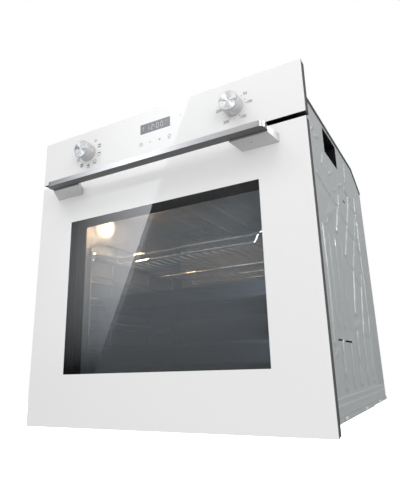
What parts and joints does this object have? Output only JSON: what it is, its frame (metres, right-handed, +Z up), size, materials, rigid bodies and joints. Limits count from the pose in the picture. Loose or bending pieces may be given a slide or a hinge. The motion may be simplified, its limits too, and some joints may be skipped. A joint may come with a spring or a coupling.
{
  "type": "built-in wall oven",
  "caption": "Built-in electric oven with a drop-down glass door, bar handle, glass control panel with rotary knobs and display, side racks, wire shelf, trays, heaters and fans.",
  "frame": {"origin": "centre of the overall box in plan, at the height of the door's lower edge, which is the lowest point", "axes": "+X to the oven's right as seen by someone facing it, +Y from the door towards the back, +Z up; the door and the knobs face -Y"},
  "size_m": [0.594, 0.605, 0.589],
  "materials": {
    "white_glass": "gloss white-printed tempered glass",
    "clear_glass": "clear tempered glass with a dark printed border",
    "galvanised": "galvanised sheet steel, bluish grey",
    "black_steel": "black painted steel",
    "enamel": "dark grey vitreous enamel",
    "aluminium": "satin anodised aluminium",
    "spun_aluminium": "spun aluminium face",
    "chrome_wire": "chromed steel wire",
    "heater": "dark oxidised heater tube",
    "mineral_wool": "mineral wool blanket",
    "seal": "silicone profile",
    "black_plastic": "black moulded plastic",
    "white_plastic": "white moulded plastic and ceramic",
    "circuit_board": "green circuit board",
    "lamp_glass": "heat-proof lamp glass"
  },
  "bodies": {
    "oven_body": {"control_glass": "white_glass", "left_side_panel": "galvanised", "right_side_panel": "galvanised", "rear_panel": "galvanised", "rear_cover": "galvanised", "base_pan": "galvanised", "left_base_rail": "galvanised", "right_base_rail": "galvanised", "left_hinge_bracket": "galvanised", "right_hinge_bracket": "galvanised", "fan_motor": "galvanised", "cooling_fan_housing": "galvanised", "top_cover": "black_steel", "front_frame": "enamel", "cavity_liner": "enamel", "fan_baffle": "enamel", "left_rack": "chrome_wire", "right_rack": "chrome_wire", "ring_heater": "heater", "grill_heater": "heater", "bottom_heater": "heater", "insulation": "mineral_wool", "door_gasket": "seal", "left_grip_cup": "black_plastic", "right_grip_cup": "black_plastic", "control_carrier": "black_plastic", "display_module": "black_plastic", "function_switch": "black_plastic", "thermostat": "white_plastic", "lamp_holder": "white_plastic", "terminal_block": "white_plastic", "control_board": "circuit_board", "lamp_glass": "lamp_glass", "lamp_bulb": "lamp_glass"},
    "door": {"door_outer_glass": "white_glass", "door_middle_glass": "clear_glass", "door_inner_glass": "clear_glass", "door_left_column": "black_plastic", "door_right_column": "black_plastic", "door_top_trim": "black_plastic", "door_bottom_rail": "black_plastic", "handle_bar": "aluminium", "handle_left_post": "aluminium", "handle_right_post": "aluminium", "handle_left_screw": "chrome_wire", "handle_right_screw": "chrome_wire", "left_hinge_plate": "galvanised", "right_hinge_plate": "galvanised"},
    "function_knob": {"function_knob_skirt": "aluminium", "function_knob_cap": "spun_aluminium", "function_knob_shaft": "chrome_wire"},
    "temperature_knob": {"temperature_knob_skirt": "aluminium", "temperature_knob_cap": "spun_aluminium", "temperature_knob_shaft": "chrome_wire"},
    "fan_wheel": {"convection_fan": "galvanised"},
    "blower_wheel": {"cooling_fan_rotor": "aluminium"},
    "shelf": {"wire_shelf": "chrome_wire"},
    "upper_tray": {"baking_tray": "enamel"},
    "lower_tray": {"deep_tray": "enamel"}
  },
  "joints": [
    {"name": "door_hinge", "type": "hinge", "parent": "oven_body", "child": "door", "pos_m": [0, -0.2295, 0.024], "axis": [1, 0, 0], "range_deg": [0, 90], "stiffness_Nm_per_rad": 8, "springref_deg": -17.19},
    {"name": "function_knob_turn", "type": "hinge", "parent": "oven_body", "child": "function_knob", "pos_m": [-0.17, -0.2575, 0.538], "axis": [0, 1, 0], "continuous": true},
    {"name": "temperature_knob_turn", "type": "hinge", "parent": "oven_body", "child": "temperature_knob", "pos_m": [0.17, -0.2575, 0.538], "axis": [0, 1, 0], "range_deg": [0, 270]},
    {"name": "convection_fan_spin", "type": "hinge", "parent": "oven_body", "child": "fan_wheel", "pos_m": [0, 0.2025, 0.265], "axis": [0, 1, 0], "continuous": true},
    {"name": "cooling_fan_spin", "type": "hinge", "parent": "oven_body", "child": "blower_wheel", "pos_m": [0, 0.0725, 0.521], "axis": [1, 0, 0], "continuous": true},
    {"name": "shelf_slide", "type": "slide", "parent": "oven_body", "child": "shelf", "axis": [0, -1, 0], "range_m": [0, 0.03]},
    {"name": "baking_tray_slide", "type": "slide", "parent": "oven_body", "child": "upper_tray", "axis": [0, -1, 0], "range_m": [0, 0.03]},
    {"name": "deep_tray_slide", "type": "slide", "parent": "oven_body", "child": "lower_tray", "axis": [0, -1, 0], "range_m": [0, 0.03]}
  ]
}
